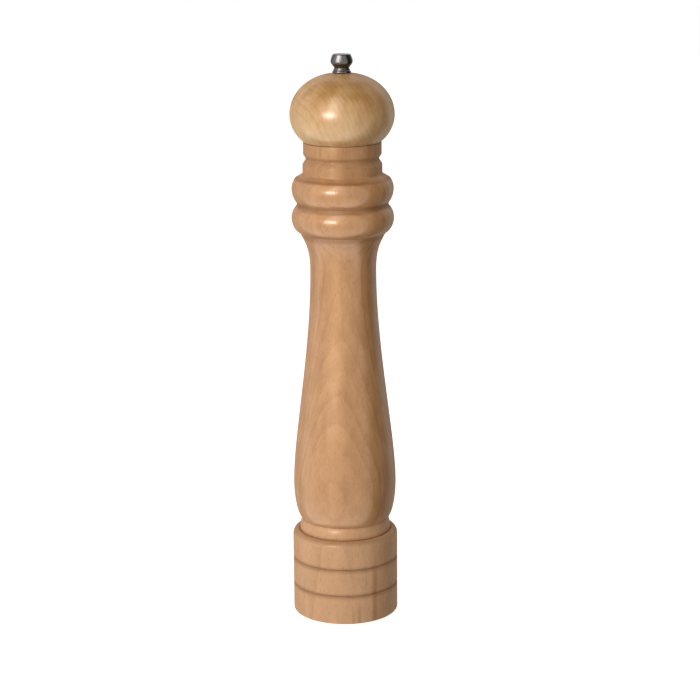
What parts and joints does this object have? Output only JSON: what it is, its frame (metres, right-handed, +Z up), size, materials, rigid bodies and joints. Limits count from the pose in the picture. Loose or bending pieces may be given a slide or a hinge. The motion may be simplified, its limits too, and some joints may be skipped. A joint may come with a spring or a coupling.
{
  "type": "pepper mill",
  "caption": "Tall turned wooden pepper mill with a ball head, a bright metal top knob and a conical grinder in the grooved base.",
  "frame": {"origin": "centre of the base, on the surface the mill stands on", "axes": "+Z up along the mill's axis, +X towards the right-hand crossbar screw, -Y towards the viewer"},
  "size_m": [0.0572, 0.0572, 0.3048],
  "materials": {
    "body_wood": "satin lacquer",
    "head_wood": "satin lacquer",
    "nickel": "polished",
    "brass": "turned",
    "zinc_plate": "zinc plated",
    "screw_steel": "zinc plated",
    "shaft_aluminium": "drawn",
    "spring_steel": "oiled",
    "burr_steel": "hardened, dark"
  },
  "bodies": {
    "body": {"mill_body": "body_wood", "stator_burr": "burr_steel", "guide_bridge": "zinc_plate", "guide_bushing": "brass", "crossbar": "zinc_plate", "crossbar_bushing": "brass", "crossbar_screw_left": "screw_steel", "crossbar_screw_right": "screw_steel"},
    "turning_washer": {"thrust_washer": "zinc_plate"},
    "shaft": {"drive_shaft": "shaft_aluminium", "rotor_burr": "burr_steel", "rotor_washer": "zinc_plate", "retaining_clip": "spring_steel", "pressure_spring": "spring_steel"},
    "lifting_head": {"head": "head_wood", "top_bushing": "nickel", "drive_plate": "zinc_plate", "drive_plate_screw_left": "screw_steel", "drive_plate_screw_right": "screw_steel"},
    "turning_knob": {"knob": "nickel", "knob_insert": "brass"}
  },
  "joints": [
    {"name": "head_turn", "type": "hinge", "parent": "body", "child": "turning_washer", "pos_m": [0, 0, 0.029], "axis": [0, 0, 1], "continuous": true},
    {"name": "burr_adjust", "type": "slide", "parent": "turning_washer", "child": "shaft", "axis": [0, 0, 1], "range_m": [-0.00105, 0.00035], "deforming": ["pressure_spring"]},
    {"name": "head_lift", "type": "slide", "parent": "turning_washer", "child": "lifting_head", "axis": [0, 0, 1], "range_m": [0, 0.064]},
    {"name": "knob_turn", "type": "hinge", "parent": "lifting_head", "child": "turning_knob", "pos_m": [0, 0, 0.3], "axis": [0, 0, 1], "range_deg": [-181, 541]}
  ],
  "couplings": [
    {"joint": "knob_turn", "follows": "burr_adjust", "rad_per_m": -8976}
  ]
}
